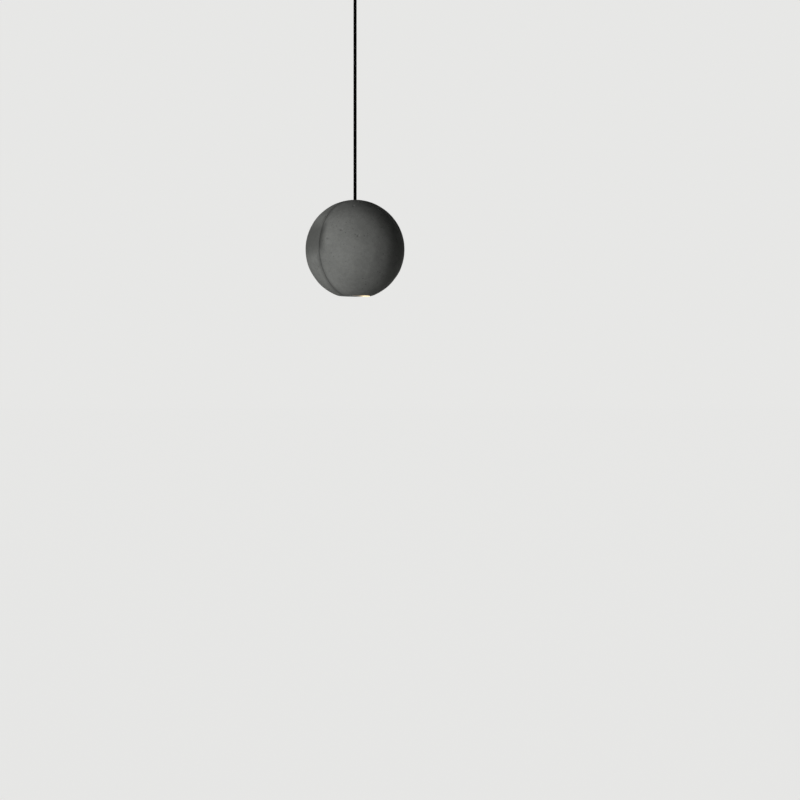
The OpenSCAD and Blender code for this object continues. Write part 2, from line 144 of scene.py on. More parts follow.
lamp_distance = 1.7
lamp_rise = math.radians(-5)
for name, turn, power in (("key_lamp", 8, 26), ("back_lamp", 225, 12)):
    turn = math.radians(turn)
    outward = Vector((math.sin(turn) * math.cos(lamp_rise), -math.cos(turn) * math.cos(lamp_rise),
                      math.sin(lamp_rise)))
    lamp_data = bpy.data.lights.new(name, "AREA")
    lamp_data.shape = "DISK"
    lamp_data.size = 0.7
    lamp_data.energy = power
    lamp = bpy.data.objects.new(name, lamp_data)
    lamp.location = Vector((0, 0, ball_z)) + lamp_distance * outward
    lamp.rotation_euler = (-outward).to_track_quat("-Z", "Y").to_euler()
    lamp.visible_camera = False
    scene.collection.objects.link(lamp)


# Ceiling plate and earth screw: a zinc plated steel strap with two wings and turned-down ears, screwed
# to the ceiling through its slots, with a brass screw for the earth wire.
def new_group(name, inputs, outputs):
    """Empty shader node group with named sockets: its tree, its input sockets and its output node."""
    group = bpy.data.node_groups.new(name, "ShaderNodeTree")
    for label, kind in inputs:
        group.interface.new_socket(label, in_out="INPUT", socket_type="NodeSocket" + kind)
    for label in outputs:
        group.interface.new_socket(label, in_out="OUTPUT", socket_type="NodeSocketFloat")
    source = group.nodes.new("NodeGroupInput").outputs
    result = group.nodes.new("NodeGroupOutput")
    return group, source, result


def carry(tree, value, from_low, from_high, to_low, to_high, way="LINEAR"):
    """Value carried from one range to another, in proportion or by a soft step, and held at the ends."""
    ends = {"Value": value, "From Min": from_low, "From Max": from_high, "To Min": to_low, "To Max": to_high}
    return add_node(tree, "MapRange", ends, interpolation_type=way).outputs[0]


def mix_tones(tree, share, first, second):
    """Colour between two, by a share from 0 to 1."""
    return add_node(tree, "Mix", {0: share, 6: first, 7: second}, data_type="RGBA").outputs[2]


surface_grain, grain_in, grain_out = new_group(
    "surface_grain", [("Stretch", "Vector"), ("Patch Scale", "Float"), ("Grain Scale", "Float")],
    ["Patch", "Grain"])
grain_place = add_node(surface_grain, "TexCoord").outputs["Object"]
grain_place = add_node(surface_grain, "VectorMath", {0: grain_place, 1: grain_in["Stretch"]},
                       operation="MULTIPLY").outputs[0]
noise_span = (0.3, 0.7)
for label, octaves in (("Patch", 4), ("Grain", 3)):
    cloud = add_node(surface_grain, "TexNoise", {"Vector": grain_place, "Detail": octaves,
                                                 "Scale": grain_in[label + " Scale"]}).outputs[0]
    surface_grain.links.new(carry(surface_grain, cloud, *noise_span, 0, 1), grain_out.inputs[label])


def grain_marks(tree, patch, grain, stretch=(1, 1, 1)):
    """Surface grain placed in a material with its own scales: its patches and its grain."""
    scales = {"Stretch": stretch, "Patch Scale": patch, "Grain Scale": grain}
    return add_node(tree, "Group", scales, node_tree=surface_grain).outputs


def new_finish(name):
    """Node material: the material, its tree and its shader."""
    finish = bpy.data.materials.new(name)
    finish.use_nodes = True
    return finish, finish.node_tree, finish.node_tree.nodes["Principled BSDF"]


def relief(tree, shader, height, depth):
    """Bump on the shader from a height of 0 to 1 that stands for a real depth."""
    bump = add_node(tree, "Bump", {"Height": height, "Distance": depth, "Strength": 1.0})
    tree.links.new(bump.outputs["Normal"], shader.inputs["Normal"])


def worked_finish(name, dark, light, roughness, metallic=0.0, stretch=(1, 1, 1), patch=70, grain=1500,
                  depth=0.01, sheen=0.5):
    """Metal or plastic: patches between two tones, and fine grain in its roughness and relief (depth in mm).
    The stretch draws the grain out along an axis, as turning, rolling and extruding do."""
    finish, tree, shader = new_finish(name)
    marks = grain_marks(tree, patch, grain, stretch)
    tone = mix_tones(tree, marks["Patch"], (*dark, 1), (*light, 1))
    tree.links.new(tone, shader.inputs["Base Color"])
    tree.links.new(carry(tree, marks["Grain"], 0, 1, *roughness), shader.inputs["Roughness"])
    shader.inputs["Metallic"].default_value = metallic
    shader.inputs["Specular IOR Level"].default_value = sheen
    relief(tree, shader, marks["Grain"], depth * mm)
    return finish


def dress(finish, *names):
    """Puts a finish on CAD nodes that are shown as they are."""
    for name in names:
        nodes[name].data.materials.clear()
        nodes[name].data.materials.append(finish)


zinc_steel = worked_finish("zinc_steel", (0.40, 0.41, 0.42), (0.60, 0.60, 0.58), (0.28, 0.46),
                           metallic=1.0, patch=220)
turned_brass = worked_finish("turned_brass", (0.52, 0.36, 0.13), (0.72, 0.52, 0.22), (0.22, 0.42),
                             metallic=1.0, stretch=(0.08, 0.08, 1), patch=600, grain=4000)
dress(zinc_steel, "ceiling_plate")
dress(turned_brass, "earth_screw")

# Terminals and driver: a moulded white block of three brass ways and a grey closed driver case, both
# hung under the plate's wings on zinc plated screws.
white_plastic = worked_finish("white_plastic", (0.70, 0.70, 0.66), (0.80, 0.80, 0.77), (0.42, 0.58))
grey_plastic = worked_finish("grey_plastic", (0.10, 0.10, 0.105), (0.15, 0.15, 0.155), (0.40, 0.60),
                             depth=0.03)
dress(white_plastic, "terminal_block")
dress(turned_brass, "terminal_screws")
dress(grey_plastic, "driver_case")
dress(zinc_steel, "driver_screws")


# Mains leads: two red insulated wires from the terminals to the driver, bowed a little under their own
# weight, because they are held only at their two ends.
weld_gap = 1e-7
sharp_angle = math.radians(38)


def make_piece(name, grids, finish, body, stands_for, uvs=None, marks=None):
    """Smooth mesh at the origin from grids of points, each a sheet of quads. Points that meet are merged, so
    closed turns and poles close, and faces are turned outwards. uvs and marks go with the grids' points."""
    points = np.concatenate([grid.reshape(-1, 3) for grid in grids])
    quads = []
    start = 0
    for grid in grids:
        rows, columns = grid.shape[:2]
        index = start + np.arange(rows * columns).reshape(rows, columns)
        corners = [index[:-1, :-1], index[1:, :-1], index[1:, 1:], index[:-1, 1:]]
        quads.append(np.stack(corners, -1).reshape(-1, 4))
        start += rows * columns
    quads = np.concatenate(quads)
    mesh = bpy.data.meshes.new(name)
    mesh.from_pydata(points.tolist(), [], quads.tolist())
    if uvs is not None:
        layer = mesh.uv_layers.new(name="weave")
        layer.data.foreach_set("uv", uvs.reshape(-1, 2)[quads.ravel()].ravel())
    for label, values in (marks or {}).items():
        layer = mesh.attributes.new(label, "FLOAT", "POINT")
        layer.data.foreach_set("value", values.ravel().astype(np.float32))
    tidy = bmesh.new()
    tidy.from_mesh(mesh)
    bmesh.ops.remove_doubles(tidy, verts=tidy.verts, dist=weld_gap)
    bmesh.ops.recalc_face_normals(tidy, faces=tidy.faces)
    tidy.to_mesh(mesh)
    tidy.free()
    mesh.shade_smooth()
    mesh.set_sharp_from_angle(angle=sharp_angle)
    mesh.materials.append(finish)
    piece = bpy.data.objects.new(name, mesh)
    scene.collection.objects.link(piece)
    if body:
        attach(piece, body)
    if stands_for:
        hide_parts(*stands_for)
    return piece


def tube(path, radius, sides):
    """Round tube: rings of a radius (one number, or one for each point of the grid) square to a path that
    keeps to a plane across Y, closed at both ends by a ring of no radius. Angles run once round."""
    angle = np.linspace(0, 2 * np.pi, sides + 1)
    along = np.gradient(path, axis=0)
    along /= np.linalg.norm(along, axis=1, keepdims=True)
    across = np.array([0.0, 1.0, 0.0])
    upright = np.cross(across, along)
    ring = np.cos(angle)[None, :, None] * upright[:, None] + np.sin(angle)[None, :, None] * across
    reach = np.broadcast_to(np.asarray(radius, float), ring.shape[:2])[..., None]
    wall = path[:, None] + reach * ring
    caps = [np.repeat(path[end][None, None], sides + 1, axis=1) for end in (0, -1)]
    return np.concatenate([caps[0], wall, caps[1]])


def bowed_wire(start, end, bow, radius):
    """Wire between two points, bowed by half a wave: its middle moves by the vector bow."""
    share = np.linspace(0, 1, wire_rings)[:, None]
    path = start + share * (np.asarray(end) - start) + np.sin(np.pi * share) * np.asarray(bow)
    return tube(path, radius, wire_sides)


wire_rings = 40
wire_sides = 16
lead_low, lead_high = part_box("mains_leads")
lead_r = (lead_high.z - lead_low.z) / 2
lead_mid = (lead_high.z + lead_low.z) / 2
lead_bow = (0, 0, -1.5 * mm)
lead_jacket = worked_finish("lead_jacket", (0.30, 0.025, 0.02), (0.42, 0.04, 0.03), (0.25, 0.40))
lead_wires = [bowed_wire(np.array([lead_low.x, y, lead_mid]), (lead_high.x, y, lead_mid), lead_bow, lead_r)
              for y in (lead_low.y + lead_r, lead_high.y - lead_r)]
make_piece("mains_wires", lead_wires, lead_jacket, "ceiling", ["mains_leads"])


# Canopy: a cup of spun sheet steel with a rounded lower edge and a rolled rim, in fine matt black powder
# coat. It hides the supply, and two knurled screws hold it to the plate's ears.
def arc(centre, radius, start, end, count=8):
    """Points of a circular arc in the plane of a profile, between two angles in degrees."""
    angle = np.radians(np.linspace(start, end, count))
    return np.stack([centre[0] + radius * np.cos(angle), centre[1] + radius * np.sin(angle)], -1)


def lathe(profile, turns=128, shift=None):
    """Solid of revolution about Z: each point (radius, height) of the profile goes once round. The shift adds
    to the radius, for each point of the profile and each angle, which makes ribs and flats."""
    angle = np.linspace(0, 2 * np.pi, turns + 1)
    radius = np.repeat(profile[:, :1], turns + 1, axis=1)
    if shift is not None:
        radius = radius + shift(profile, angle)
    height = np.repeat(profile[:, 1:], turns + 1, axis=1)
    return np.stack([radius * np.cos(angle), radius * np.sin(angle), height], -1)


canopy_low, canopy_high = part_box("canopy")
canopy_r = canopy_high.x
canopy_depth = -canopy_low.z
sheet = 1.2 * mm
edge_round = 3 * mm
rim_round = 0.5 * mm
gland_hole_r = 5.1 * mm
canopy_floor = -canopy_depth + sheet
edge_centre = (canopy_r - edge_round, -canopy_depth + edge_round)
canopy_profile = np.concatenate([
    [[gland_hole_r, canopy_floor], [gland_hole_r, -canopy_depth]],
    arc(edge_centre, edge_round, -90, 0, count=14),
    arc((canopy_r - rim_round, -rim_round), rim_round, 0, 90, count=5),
    arc((canopy_r - sheet + rim_round, -rim_round), rim_round, 90, 180, count=5),
    arc(edge_centre, edge_round - sheet, 0, -90, count=10),
    [[gland_hole_r, canopy_floor]],
])
powder_coat = worked_finish("powder_coat", (0.011, 0.011, 0.011), (0.019, 0.019, 0.019), (0.62, 0.80),
                            patch=45, grain=1700, depth=0.06, sheen=0.15)
canopy_grid = lathe(canopy_profile, turns=192)
make_piece("canopy_cup", [canopy_grid], powder_coat, "ceiling", ["canopy"])

screw_low, screw_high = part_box("canopy_screws")
head_r = (screw_high.x - screw_low.x) / 2
head_h = screw_high.y - canopy_r
screw_z = (screw_high.z + screw_low.z) / 2
shank_r = 1.95 * mm
shank_l = 6 * mm
socket_af = 2.5 * mm
socket_h = 1.6 * mm
knurl_depth = 0.22 * mm
knurl_count = 32
head_round = 0.5 * mm
screw_profile = np.concatenate([
    [[0, -shank_l], [shank_r, -shank_l], [shank_r, 0], [head_r - head_round, 0]],
    arc((head_r - head_round, head_round), head_round, -60, 0, count=4),
    arc((head_r - head_round, head_h - head_round), head_round, 0, 90, count=5),
    [[socket_af / 2, head_h], [socket_af / 2, head_h - socket_h], [0, head_h - socket_h]],
])


def knurl_and_socket(profile, angle):
    """Knurl: a wave round the head's side. Socket: the hexagon's own radius, from the distance
    of its flats."""
    radius, height = profile[:, :1], profile[:, 1:]
    side = (radius > head_r - head_round) & (height > 0)
    knurl = side * knurl_depth * 0.5 * (np.cos(knurl_count * angle) - 1)
    sixth = np.pi / 3
    hexagon = socket_af / 2 * (1 / np.cos((angle + sixth / 2) % sixth - sixth / 2) - 1)
    return knurl + np.isclose(radius, socket_af / 2) * hexagon


screw_turned = lathe(screw_profile, turns=192, shift=knurl_and_socket)
screws = []
for side in (1, -1):
    x, y, z = np.moveaxis(screw_turned, -1, 0)
    screws.append(np.stack([x, side * (canopy_r + z), screw_z - side * y], -1))
make_piece("canopy_knobs", screws, powder_coat, "ceiling", ["canopy_screws"])

# Gland: a moulded nylon body through the canopy with a zinc plated lock nut inside, a rubber sleeve that
# grips the cord, and a ribbed dome nut below with a flared mouth, where the cord swings.
dome_low, dome_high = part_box("gland_dome")
dome_r = dome_high.x
dome_top, dome_end = dome_high.z, dome_low.z
mouth_h = 4.5 * mm
mouth_r = 4.8 * mm
throat_r = 2.5 * mm
throat_h = 6 * mm
sleeve_bore = 3.95 * mm
thread_bore = 5.55 * mm
thread_h = 9.7 * mm
mouth_rim = 1 * mm
rib_count = 20
rib_depth = 0.5 * mm
dome_edge = 0.5 * mm
rib_levels = 14
rib_fade = 6
rib_power = 3
below_ribs = 0.5 * mm
above_ribs = 1.2 * mm
shoulder_in = 0.1 * mm
shoulder_h = 0.4 * mm
rib_rows = np.linspace(dome_end + mouth_h + below_ribs, dome_top - above_ribs, rib_levels)
dome_profile = np.concatenate([
    [[thread_bore, dome_top]],
    arc((dome_r - dome_edge, dome_top - dome_edge), dome_edge, 90, 0, count=5),
    np.stack([np.full(rib_levels, dome_r), rib_rows[::-1]], -1),
    [[dome_r - shoulder_in, dome_end + mouth_h - shoulder_h]],
    arc((mouth_r + mouth_rim / 2, dome_end + mouth_rim / 2), mouth_rim / 2, 20, -200, count=12),
    [[throat_r, dome_end + mouth_h], [throat_r, dome_end + throat_h], [sleeve_bore, dome_end + throat_h],
     [sleeve_bore, dome_end + thread_h], [thread_bore, dome_end + thread_h], [thread_bore, dome_top]],
])


def grip_ribs(profile, angle):
    """Round grooves between the ribs: a raised power of a wave round the nut, faded out at both ends."""
    radius, height = profile[:, :1], profile[:, 1:]
    middle = (rib_rows[0] + rib_rows[-1]) / 2
    reach = (rib_rows[-1] - rib_rows[0]) / 2
    fade = np.clip((1 - np.abs(height - middle) / reach) * rib_fade, 0, 1) * np.isclose(radius, dome_r)
    return -rib_depth * np.sqrt(fade) * (0.5 + 0.5 * np.cos(rib_count * angle)) ** rib_power


nylon = worked_finish("nylon", (0.012, 0.012, 0.012), (0.020, 0.020, 0.020), (0.50, 0.66),
                      patch=120, depth=0.02, sheen=0.2)
rubber = worked_finish("rubber", (0.014, 0.014, 0.014), (0.026, 0.025, 0.024), (0.70, 0.88),
                       grain=2500, depth=0.03, sheen=0.15)
dome_grid = lathe(dome_profile, turns=160, shift=grip_ribs)
make_piece("gland_grip", [dome_grid], nylon, "ceiling", ["gland_dome"])
dress(nylon, "gland_body")
dress(zinc_steel, "gland_nut")
dress(rubber, "gland_sleeve")


# Cord: a round flex in a black braided textile jacket, two sets of yarns crossing over and under. It is
# gripped in the gland, bends in the gland's mouth, hangs taut and goes down through the ball's crown.
def braided_cord(path):
    """Tube round a path with a braid's relief. With a and b the running numbers of the yarns of each set
    at an angle and a length along, each yarn is a squared wave, and over and under swap with the wave
    of a + b."""
    step = np.linalg.norm(np.diff(path, axis=0), axis=1)
    along = np.concatenate([[0], np.cumsum(step)])[:, None]
    angle = np.linspace(0, 2 * np.pi, cord_sides + 1)[None]
    a = yarn_count * (angle / (2 * np.pi) + along / braid_lead)
    b = yarn_count * (angle / (2 * np.pi) - along / braid_lead)
    over = over_share * np.cos(np.pi * (a + b))
    first_set = np.cos(np.pi * a) ** 2 * (1 - over_share + over)
    second_set = np.cos(np.pi * b) ** 2 * (1 - over_share - over)
    lift = np.maximum(first_set, second_set)
    radius = cord_r - braid_depth * (1 - lift)
    uv = np.stack(np.broadcast_arrays(angle / (2 * np.pi), along / (2 * np.pi * cord_r)), -1)
    grid = tube(path, radius, cord_sides)
    ends = [np.concatenate([values[:1], values, values[-1:]]) for values in (uv, lift)]
    return grid, ends[0], ends[1]


def even_path(points, spacing):
    """Points at an even spacing along a line through the given points."""
    points = np.asarray(points, float)
    along = np.concatenate([[0], np.cumsum(np.linalg.norm(np.diff(points, axis=0), axis=1))])
    even = np.linspace(0, along[-1], max(int(round(along[-1] / spacing)), 2) + 1)
    return np.stack([np.interp(even, along, points[:, axis]) for axis in range(3)], -1)


def make_cord(name, route, body, stands_for):
    """Braided cord along a route, as a piece on a body."""
    grid, uv, lift = braided_cord(even_path(route, braid_step))
    return make_piece(name, [grid], cord_jacket, body, stands_for, uv, {"lift": lift})


cord_r = 2 * mm
cord_sides = 48
yarn_count = 8
braid_lead = 18 * mm
braid_step = 0.4 * mm
braid_depth = 0.16 * mm
over_share = 0.4
fibre_scale = (90, 14, 1)
fibre_depth = 0.04 * mm
cord_jacket, jacket, jacket_shader = new_finish("cord_jacket")
yarn_lift = add_node(jacket, "Attribute", attribute_name="lift").outputs["Fac"]
weave_place = add_node(jacket, "UVMap", uv_map="weave").outputs[0]
fibre_place = add_node(jacket, "Mapping", {"Vector": weave_place, "Scale": fibre_scale}).outputs[0]
fibres = add_node(jacket, "TexNoise", {"Vector": fibre_place, "Scale": 1.0, "Detail": 3}).outputs[0]
yarn_tone = mix_tones(jacket, fibres, (0.003, 0.003, 0.003, 1), (0.009, 0.0088, 0.0085, 1))
# Painted shade: the jacket is darker where the braid sinks between the yarns.
jacket_tone_with_gap_shade = mix_tones(jacket, yarn_lift, (0.0015, 0.0015, 0.0015, 1), yarn_tone)
jacket.links.new(jacket_tone_with_gap_shade, jacket_shader.inputs["Base Color"])
jacket.links.new(carry(jacket, fibres, *noise_span, 0.72, 0.92), jacket_shader.inputs["Roughness"])
jacket_shader.inputs["Specular IOR Level"].default_value = 0.0
relief(jacket, jacket_shader, fibres, fibre_depth)

pivot_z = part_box("cord_bend")[0].z + cord_r
# Drops below the pivot, from just under the bend to the crown, at most 12 mm apart.
cord_drops = mm * np.concatenate([[2.5], np.arange(10, 41, 10), np.arange(52, 233, 12), [243, 253]])
cord_route = np.stack([0 * cord_drops, 0 * cord_drops, pivot_z - cord_drops], -1)
hanging_cord = make_cord("hanging_cord", cord_route, "cord", ["pendant_cord"])

flex_rise = 1.9 * mm
flex_overlap = 0.15 * mm
flex_z = (pivot_z + flex_rise, pivot_z, cord_route[0][2] - flex_overlap)
flex_joins = (("upper_flex", "ceiling", "bend"), ("lower_flex", "bend", "cord"))
for (name, above, below), top, end in zip(flex_joins, flex_z[:-1], flex_z[1:]):
    flex = make_cord(name, [[0, 0, top], [0, 0, end]], None, ["cord_bend"])
    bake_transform(flex)

canopy_cord_low, canopy_cord_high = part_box("canopy_cord")
turn_r = 8 * mm
turn_centre = (turn_r, canopy_cord_high.z - cord_r - turn_r)
cord_turn = arc(turn_centre, turn_r, 180, 90, count=24)
canopy_route = np.concatenate([[[0, 0, canopy_cord_low.z]],
                               np.insert(cord_turn, 1, 0, axis=1),
                               [[canopy_cord_high.x, 0, canopy_cord_high.z - cord_r]]])
make_cord("canopy_flex", canopy_route, "ceiling", ["canopy_cord"])

inner_low, inner_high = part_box("inner_cord")
make_cord("inner_flex", [[0, 0, inner_high.z], [0, 0, inner_low.z]], "ball", ["inner_cord"])

# Crown: a matt black cap let in flush where the cord enters, on a brass threaded tube that clamps the
# ball's crown with a washer and a nut inside. A brass collar under the tube grips the cord.
cap_low, cap_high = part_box("crown_cap")
cap_r = cap_high.x
cap_seat, cap_top = cap_low.z, cap_high.z
cap_bore = 2.2 * mm
cap_thread = 5.05 * mm
cap_lip = 1 * mm
cap_edge = 0.6 * mm
bore_edge = 0.4 * mm
cap_profile = np.concatenate([
    [[cap_thread, cap_seat], [cap_r, cap_seat]],
    arc((cap_r - cap_edge, cap_top - cap_edge), cap_edge, 0, 90, count=7),
    arc((cap_bore + bore_edge, cap_top - bore_edge), bore_edge, 90, 180, count=5),
    [[cap_bore, cap_top - cap_lip], [cap_thread, cap_top - cap_lip], [cap_thread, cap_seat]],
])
make_piece("crown_button", [lathe(cap_profile, turns=96)], nylon, "ball", ["crown_cap"])
dress(zinc_steel, "crown_washer", "crown_nut", "collar_screw")
dress(turned_brass, "tie_tube", "cord_collar")

# Light engine: a steel plate on the tube carries an extruded aluminium heat sink, and under that a white
# board with four lit chips in a white moulded well. The cord's two cores feed the board.
aluminium = worked_finish("aluminium", (0.50, 0.51, 0.52), (0.64, 0.65, 0.66), (0.30, 0.48),
                          metallic=1.0, stretch=(1, 1, 0.06), patch=500, grain=2600)
board_mask = worked_finish("board_mask", (0.72, 0.73, 0.72), (0.80, 0.81, 0.80), (0.30, 0.42), patch=300)
dress(zinc_steel, "carrier_plate", "plate_nuts", "sink_screws", "board_screws", "seam_pins")
dress(aluminium, "heat_sink")
dress(board_mask, "light_board")
dress(white_plastic, "light_well")
phosphor = worked_finish("phosphor", (0.80, 0.52, 0.14), (0.86, 0.62, 0.22), (0.30, 0.45), patch=900)
phosphor_shader = phosphor.node_tree.nodes["Principled BSDF"]
phosphor_shader.inputs["Emission Color"].default_value = (1.0, 0.78, 0.45, 1)
phosphor_shader.inputs["Emission Strength"].default_value = 4.0
dress(phosphor, "light_chips")
core_low, core_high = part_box("board_leads")
core_r = core_high.x
core_bow = (-3 * mm, 0, 0)
core_wires = [bowed_wire(np.array([0, y, core_high.z]), (0, y, core_low.z), core_bow, core_r)
              for y in (core_low.y + core_r, core_high.y - core_r)]
make_piece("board_wires", core_wires, lead_jacket, "ball", ["board_leads"])


# Halves of the ball: two concrete shells cast in a mould, with rounded arrises along the seam, a flat
# below, air pores in the skin, a socket for the crown cap and, in one half, the half moon window.
pit_rarity = 0.6
pit_bottom = 0.45
pit_rim = 1e-4
air_pits, pit_in, pit_out = new_group("air_pits", [("Scale", "Float"), ("Size", "Float")], ["Pit", "Speck"])
pit_place = add_node(air_pits, "TexCoord").outputs["Object"]
pit_cells = add_node(air_pits, "TexVoronoi", {"Vector": pit_place, "Scale": pit_in["Scale"]}).outputs
pit_chance = add_node(air_pits, "SeparateXYZ", {0: pit_cells["Color"]}).outputs
pit_r = calculate(air_pits, "MULTIPLY", carry(air_pits, pit_chance[0], pit_rarity, 1, 0, 1), pit_in["Size"])
pit_floor = calculate(air_pits, "MULTIPLY", pit_r, pit_bottom)
pit_wall = calculate(air_pits, "ADD", pit_r, pit_rim)
air_pits.links.new(carry(air_pits, pit_cells["Distance"], pit_floor, pit_wall, 1, 0), pit_out.inputs["Pit"])
air_pits.links.new(pit_chance[1], pit_out.inputs["Speck"])


def concrete(name, dark, light, shadow_depth, shadow_start, shadow_end):
    """Cast concrete: broad clouds, fine cement clouding, sand grains and specks between two tones, and air
    pits darkened with painted shade. Painted shade darkens the concrete along the seam's edges, and a soft
    painted shadow lies beside the seam, just over half way up, that fades out between two distances from the
    seam."""
    finish, tree, shader = new_finish(name)
    broad = grain_marks(tree, patch=26, grain=190)
    sandy = grain_marks(tree, patch=700, grain=2300)
    pits = add_node(tree, "Group", {"Scale": 330, "Size": 0.32}, node_tree=air_pits).outputs
    specks = add_node(tree, "Group", {"Scale": 1100, "Size": 0.4}, node_tree=air_pits).outputs
    tone = calculate(tree, "MULTIPLY", broad["Patch"], broad_share)
    for part, share in ((broad["Grain"], cement_share), (sandy["Patch"], sand_share),
                        (specks["Speck"], speck_share)):
        tone = calculate(tree, "ADD", tone, calculate(tree, "MULTIPLY", part, share))
    skin = mix_tones(tree, tone, (*dark, 1), (*light, 1))
    # Painted shade in the air pores and pits: the skin darkens there toward a share of the dark tone.
    hollow_shade = add_node(tree, "Attribute", attribute_name="pore").outputs["Fac"]
    hollow_shade = calculate(tree, "MAXIMUM", calculate(tree, "MULTIPLY", hollow_shade, pore_shade),
                       calculate(tree, "MULTIPLY", pits["Pit"], pit_shade))
    skin = mix_tones(tree, hollow_shade, skin, (*(hollow_shade_tone * np.array(dark)), 1))
    place = add_node(tree, "SeparateXYZ", {0: add_node(tree, "TexCoord").outputs["Object"]}).outputs
    # Painted shadow: a soft dark band beside the seam, just over half way up, mottled by the broad patches.
    # Painted shade: the concrete darkens along the seam's edges.
    off_seam = calculate(tree, "ABSOLUTE", place["X"], 0)
    off_shadow = calculate(tree, "ABSOLUTE", calculate(tree, "SUBTRACT", place["Z"], ball_z + shadow_rise), 0)
    cloud = carry(tree, off_shadow, *shadow_fade, shadow_depth, 0, "SMOOTHSTEP")
    near_seam = carry(tree, off_seam, shadow_start, shadow_end, 1, 0, "SMOOTHSTEP")
    mottle = carry(tree, broad["Patch"], 0, 1, *shadow_mottle)
    cloud = calculate(tree, "MULTIPLY", calculate(tree, "MULTIPLY", cloud, near_seam), mottle)
    seam_shade = carry(tree, off_seam, 0, seam_shade_w, seam_shade_depth, 0, "SMOOTHSTEP")
    painted_shade = calculate(tree, "MAXIMUM", cloud, seam_shade)
    skin = mix_tones(tree, painted_shade, skin, (*(painted_shade_tone * np.array(dark)), 1))
    tree.links.new(skin, shader.inputs["Base Color"])
    tree.links.new(carry(tree, tone, *tone_span, *skin_roughness), shader.inputs["Roughness"])
    shader.inputs["Specular IOR Level"].default_value = 0.04
    height = calculate(tree, "MULTIPLY", sandy["Grain"], sand_height)
    height = calculate(tree, "SUBTRACT", height, pits["Pit"])
    height = calculate(tree, "SUBTRACT", height, calculate(tree, "MULTIPLY", specks["Pit"], speck_height))
    relief(tree, shader, height, skin_depth)
    return finish


broad_share = 0.42
cement_share = 0.24
sand_share = 0.18
speck_share = 0.16
# Painted shade in the pores and pits: its strengths and its tone.
pore_shade = 0.3
pit_shade = 0.5
hollow_shade_tone = 0.35
# Tone of the painted shadow and shade as a share of the dark tone, then the painted shadow's fade in height
# and its mottling.
painted_shade_tone = 0.4
shadow_fade = (8 * mm, 26 * mm)
shadow_mottle = (0.85, 1.15)
tone_span = (0.2, 0.8)
skin_roughness = (0.94, 0.80)
sand_height = 0.22
speck_height = 0.3
skin_depth = 0.22 * mm
seam_half = 0.2 * mm
arris_w = 1.6 * mm
arris_depth = 1.1 * mm
arris_r = ball_r - arris_depth
arris_rows = 7
wall = 9 * mm
flat_soft = 0.35 * mm
# Height of the painted shadow above the ball's centre, then the width and strength of the painted shade along
# the seam.
shadow_rise = 11 * mm
seam_shade_w = 6.5 * mm
seam_shade_depth = 0.42
rim_ease = 0.9 * mm
lens_low, lens_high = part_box("lens")
lens_gap = 0.2 * mm
ledge_w = 2 * mm
window_r = lens_high.x - ledge_w + lens_gap
window_edge = lens_low.x - lens_gap
socket_gap = 0.2 * mm
socket_r = cap_r + socket_gap
half_cells = 276
wave_count = 10
wave_lengths_mm = (14, 45)
wave_height = 0.35 * mm
pore_count = 90
pore_sizes = (0.5 * mm, 1.9 * mm)
pore_size_power = 5
pore_depth = 0.55
near_flat = 0.9


def half_ball_grid(count, edge):
    """Even grid of directions on a half ball about +X. A square's rings become circles, and a circle's radius
    becomes the angle from X so that equal squares cover equal areas, out to the plane X = edge."""
    side = np.linspace(-1, 1, count)
    a, b = np.meshgrid(side, side, indexing="ij")
    wide = np.abs(a) >= np.abs(b)
    ring = np.where(wide, a, b)
    share = np.where(wide, b, a) / ring
    turn = np.where(wide, np.pi / 4 * share, np.pi / 2 - np.pi / 4 * share)
    out = np.abs(ring)
    rise = 1 - out ** 2 * (1 - edge / ball_r)
    reach = np.sqrt(1 - rise ** 2) * np.sign(ring)
    return np.stack([rise, reach * np.cos(turn), reach * np.sin(turn)], -1)


def level_flat(points):
    """Levels the flat: heights below it are brought up to it through a soft edge."""
    points[..., 2] = flat_soft * np.logaddexp(0, (points[..., 2] + flat_depth) / flat_soft) - flat_depth
    return points


def eased(gap):
    """Depth of a rounded rim at a gap from a hole's edge: a parabola that ends at the rim's width."""
    return np.clip(rim_ease - np.maximum(gap, 0), 0, None) ** 2 / (2 * rim_ease)


def cast_skin(direction, seed, has_window):
    """Cast face about the ball's centre: its radius with long low waves, less the air pores, each a shallow
    bowl. The flat is levelled, and the rims of the crown's socket and the window are rounded."""
    chance = np.random.default_rng(seed)
    facing = chance.normal(size=(wave_count, 3))
    facing /= np.linalg.norm(facing, axis=1, keepdims=True)
    length = chance.uniform(*wave_lengths_mm, wave_count) * mm
    phase = chance.uniform(0, 2 * np.pi, wave_count)
    swell = np.sin(2 * np.pi * ball_r * (direction @ facing.T) / length + phase).mean(-1) * wave_height
    middle = chance.normal(size=(pore_count, 3))
    middle[:, 0] = np.abs(middle[:, 0])
    middle /= np.linalg.norm(middle, axis=1, keepdims=True)
    size = pore_sizes[0] + (pore_sizes[1] - pore_sizes[0]) * chance.random(pore_count) ** pore_size_power
    gap = ball_r * np.sqrt(np.maximum(2 - 2 * direction @ middle.T, 0))
    bowl = np.clip(1 - (gap / size) ** 2, 0, 1)
    sunk = (pore_depth * size * bowl).max(-1)
    points = level_flat((ball_r + swell - sunk)[..., None] * direction)
    x, y, z = np.moveaxis(points, -1, 0)
    radius = np.hypot(x, y)
    points[..., 2] -= np.where(z > 0, eased(radius - socket_r), 0)
    if has_window:
        beside = np.maximum(radius - window_r, window_edge - x)
        points[..., 2] += np.where(z < -near_flat * flat_depth, eased(beside), 0)
    return points, bowl.max(-1)


